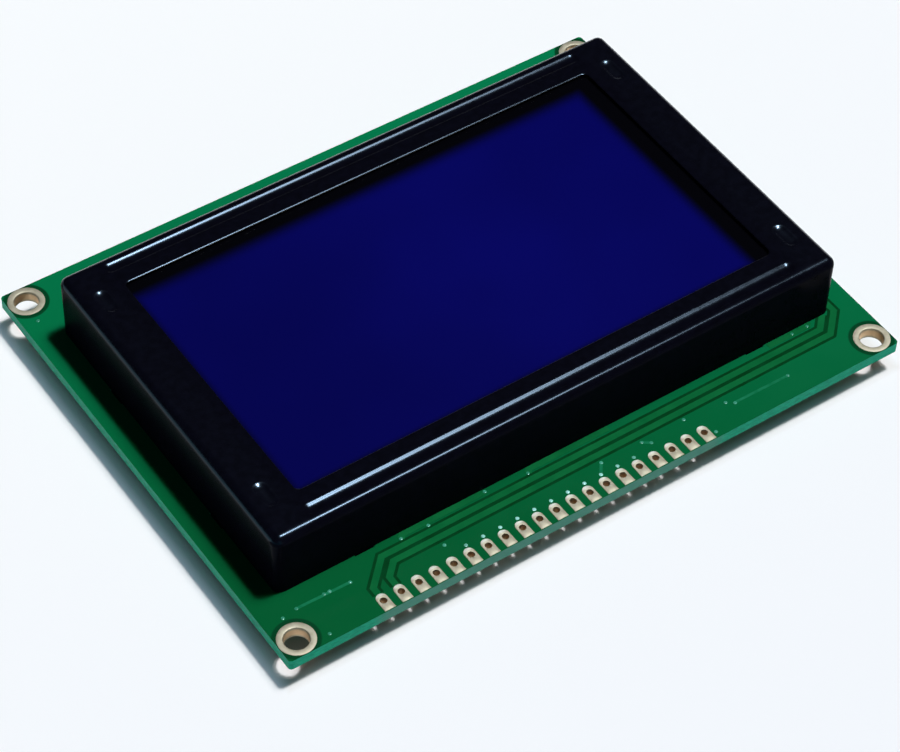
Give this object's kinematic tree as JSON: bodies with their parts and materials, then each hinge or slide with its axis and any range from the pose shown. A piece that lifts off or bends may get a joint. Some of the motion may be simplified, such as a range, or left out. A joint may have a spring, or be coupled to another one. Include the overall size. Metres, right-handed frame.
{
  "type": "graphic lcd module",
  "caption": "Flat display module: a green circuit board with corner holes and a row of header pads carries a black pressed bezel around a dark blue display cell and its backlight.",
  "frame": {"origin": "middle of the board in plan, on the plane that the driver chips on the back rest on", "axes": "+X along the header row from its first pad, +Y from the header edge to the far edge, +Z out of the display face"},
  "size_m": [0.093, 0.07, 0.0144],
  "materials": {
    "green_board": "glossy green solder mask over glass-fibre board",
    "gold_plating": "thin gold plating on copper",
    "black_paint": "glossy black paint on pressed steel",
    "display_face": "dark blue polarizing film with a smooth face",
    "cell_glass": "polished clear plate",
    "elastomer": "grey silicone with fine conducting layers",
    "white_plastic": "white, slightly satin",
    "clear_acrylic": "polished clear acrylic",
    "led_resin": "pale yellow filled resin in a white case",
    "tinned_metal": "bright tin plating",
    "solder": "bright solder",
    "moulded_black": "fine matt moulding compound",
    "moulded_ochre": "ochre moulding compound with tinned ends",
    "resistor_ceramic": "dark glaze on white ceramic with tinned ends",
    "capacitor_ceramic": "fired tan ceramic with tinned ends"
  },
  "bodies": {
    "root": {"circuit_board": "green_board", "header_pads": "gold_plating", "bezel": "black_paint", "front_polarizer": "display_face", "rear_polarizer": "display_face", "front_glass": "cell_glass", "rear_glass": "cell_glass", "front_connector_strip": "elastomer", "back_connector_strip": "elastomer", "backlight_frame": "white_plastic", "reflector_film": "white_plastic", "diffuser_film": "white_plastic", "led_board": "white_plastic", "light_guide": "clear_acrylic", "anode_pin": "tinned_metal", "cathode_pin": "tinned_metal", "anode_solder": "solder", "cathode_solder": "solder", "mounting_pad_1": "gold_plating", "mounting_pad_2": "gold_plating", "mounting_pad_3": "gold_plating", "mounting_pad_4": "gold_plating", "led_1": "led_resin", "led_2": "led_resin", "led_3": "led_resin", "led_4": "led_resin", "led_5": "led_resin", "led_6": "led_resin", "left_column_driver": "moulded_black", "left_column_driver_leads": "tinned_metal", "row_driver": "moulded_black", "row_driver_leads": "tinned_metal", "right_column_driver": "moulded_black", "right_column_driver_leads": "tinned_metal", "bias_amplifier": "moulded_black", "bias_amplifier_leads": "tinned_metal", "voltage_inverter": "moulded_black", "voltage_inverter_leads": "tinned_metal", "moulded_capacitor_1": "moulded_ochre", "moulded_capacitor_2": "moulded_ochre", "chip_resistor_1": "resistor_ceramic", "chip_resistor_2": "resistor_ceramic", "chip_resistor_3": "resistor_ceramic", "chip_resistor_4": "resistor_ceramic", "chip_resistor_5": "resistor_ceramic", "chip_resistor_6": "resistor_ceramic", "chip_resistor_7": "resistor_ceramic", "chip_resistor_8": "resistor_ceramic", "chip_capacitor_1": "capacitor_ceramic", "chip_capacitor_2": "capacitor_ceramic", "chip_capacitor_3": "capacitor_ceramic", "chip_capacitor_4": "capacitor_ceramic", "chip_capacitor_5": "capacitor_ceramic"}
  },
  "joints": []
}
